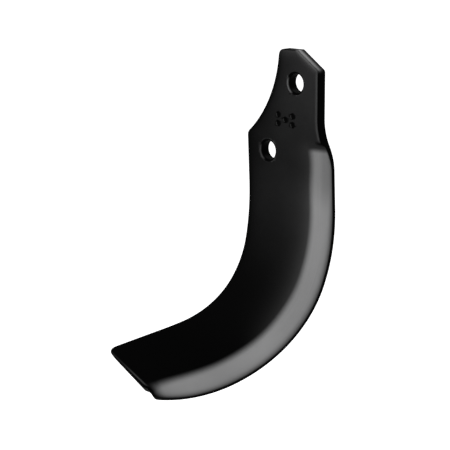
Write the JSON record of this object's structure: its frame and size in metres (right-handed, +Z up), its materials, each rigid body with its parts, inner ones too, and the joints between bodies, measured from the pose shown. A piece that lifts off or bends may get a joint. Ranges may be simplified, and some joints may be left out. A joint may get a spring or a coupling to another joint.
{
  "type": "rotary tiller blade",
  "caption": "Sickle-shaped rotary tiller blade, bent forward at its tip, with a bevelled cutting edge and a flat drilled shank that bolts to the rotor's flange.",
  "frame": {"origin": "centre of the upper bolt hole, on the flat back face of the shank that seats on the rotor's flange", "axes": "+Y out of the flat back face of the shank, along the bolt holes; +Z up the shank's straight edge, away from the blade; +X from the shank's hollow side to its straight side. The tip bends toward -Y"},
  "size_m": [0.1261, 0.057, 0.1983],
  "materials": {
    "black_steel": "satin black heat-treated and painted forged steel, with the bevel of the cutting edge in grey steel"
  },
  "bodies": {
    "root": {"blade": "black_steel"}
  },
  "joints": []
}
